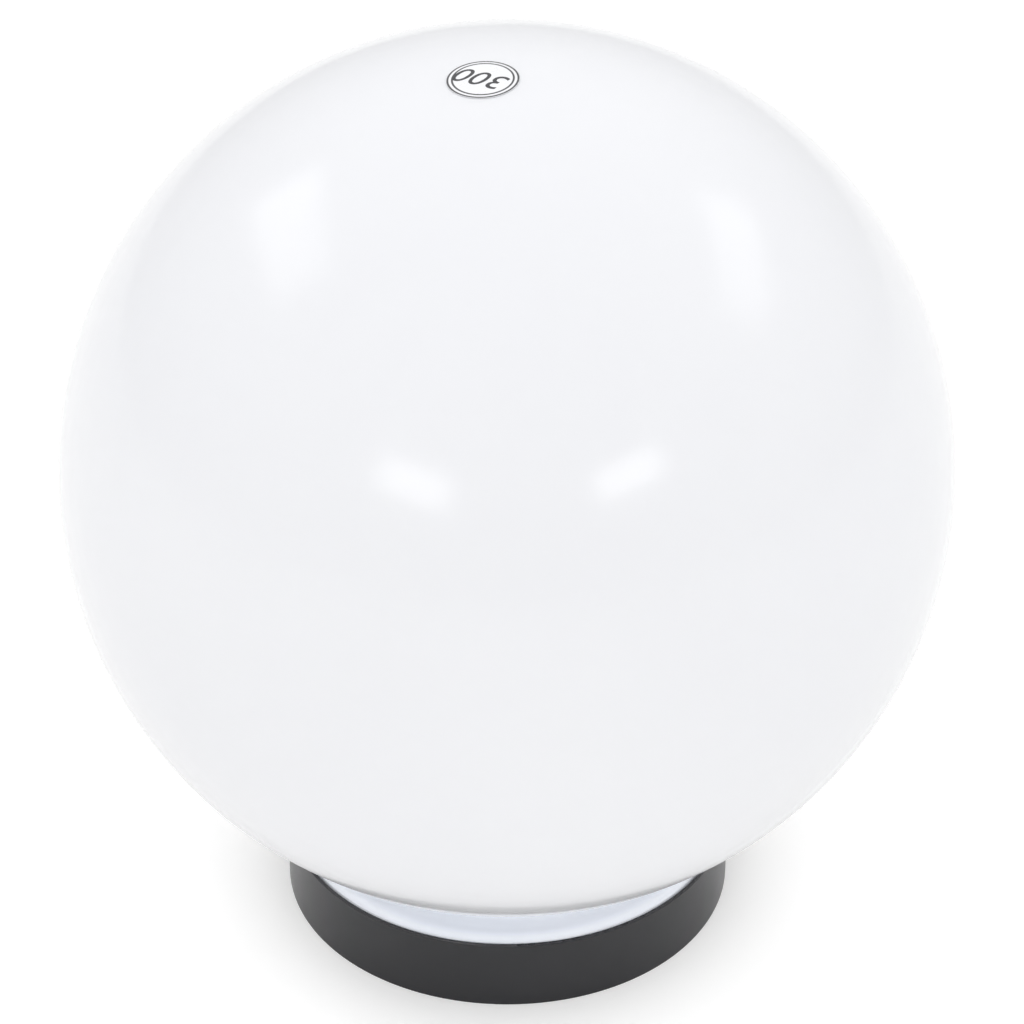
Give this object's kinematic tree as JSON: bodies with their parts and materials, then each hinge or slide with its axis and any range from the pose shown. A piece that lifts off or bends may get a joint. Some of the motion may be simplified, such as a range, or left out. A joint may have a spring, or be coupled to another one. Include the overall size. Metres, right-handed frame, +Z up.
{
  "type": "garden globe light",
  "caption": "Outdoor globe light: an opal plastic ball whose flared neck locks into a shallow round black base, over a screw-in lamp on a bracket.",
  "frame": {"origin": "centre of the base's underside", "axes": "+Z up along the globe's axis; the front of the picture is -Y; +X is to the right"},
  "size_m": [0.3, 0.2998, 0.317],
  "materials": {
    "opal_plastic": "glossy opal white",
    "collar_plastic": "glossy opal white, a little blue",
    "label_film": "printed film",
    "black_plastic": "satin, fine mould texture",
    "black_rubber": "matte",
    "foam_rubber": "matte closed-cell foam",
    "clear_rubber": "matte silicone",
    "zinc_steel": "zinc plated",
    "ceramic": "glazed white",
    "brass": "satin",
    "nickel": "nickel plated",
    "tin": "tin plated",
    "white_plastic": "satin",
    "nylon": "natural nylon",
    "brown_cover": "smooth",
    "blue_cover": "smooth",
    "green_yellow_cover": "smooth, yellow stripe",
    "aluminium": "plain",
    "circuit_board": "solder mask",
    "component_black": "moulded",
    "led_yellow": "phosphor",
    "glass_black": "fused glass"
  },
  "bodies": {
    "base": {"base_housing": "black_plastic", "base_seal": "foam_rubber", "cable_grommet": "black_rubber", "lampholder_bracket": "zinc_steel", "bracket_screws": "zinc_steel", "lampholder_body": "ceramic", "lampholder_screws": "zinc_steel", "screw_shell": "brass", "centre_contact": "brass", "ring_terminals": "tin", "holder_terminal_screws": "brass", "earth_tag": "tin", "live_wire": "brown_cover", "neutral_wire": "blue_cover", "earth_wire": "green_yellow_cover", "terminal_block": "nylon", "terminal_inserts": "brass", "terminal_screws": "zinc_steel", "block_screws": "zinc_steel"},
    "gasket": {"globe_gasket": "black_rubber"},
    "globe": {"globe_shell": "opal_plastic", "globe_collar": "collar_plastic", "size_label": "label_film"},
    "lamp_seal": {"lamp_seal_ring": "clear_rubber"},
    "lamp": {"bulb_cap": "nickel", "cap_insulator": "glass_black", "cap_contact": "brass", "bulb_housing": "white_plastic", "bulb_heat_sink": "aluminium", "driver_board": "circuit_board", "driver_parts": "component_black", "driver_leads": "tin", "led_board": "aluminium", "led_chips": "led_yellow", "bulb_dome": "white_plastic"}
  },
  "joints": [
    {"name": "globe_lift", "type": "slide", "parent": "base", "child": "gasket", "axis": [0, 0, 1], "range_m": [0, 0.15]},
    {"name": "globe_twist", "type": "hinge", "parent": "gasket", "child": "globe", "pos_m": [0, 0, 0.01], "axis": [0, 0, -1], "range_deg": [0, 25]},
    {"name": "lamp_rise", "type": "slide", "parent": "base", "child": "lamp_seal", "axis": [0, 0, 1], "range_m": [0, 0.0164]},
    {"name": "lamp_turn", "type": "hinge", "parent": "lamp_seal", "child": "lamp", "pos_m": [0, 0, 0.045], "axis": [0, 0, 1], "range_deg": [0, 1620]}
  ],
  "couplings": [
    {"joint": "lamp_rise", "follows": "lamp_turn", "m_per_rad": 0.00057757}
  ]
}
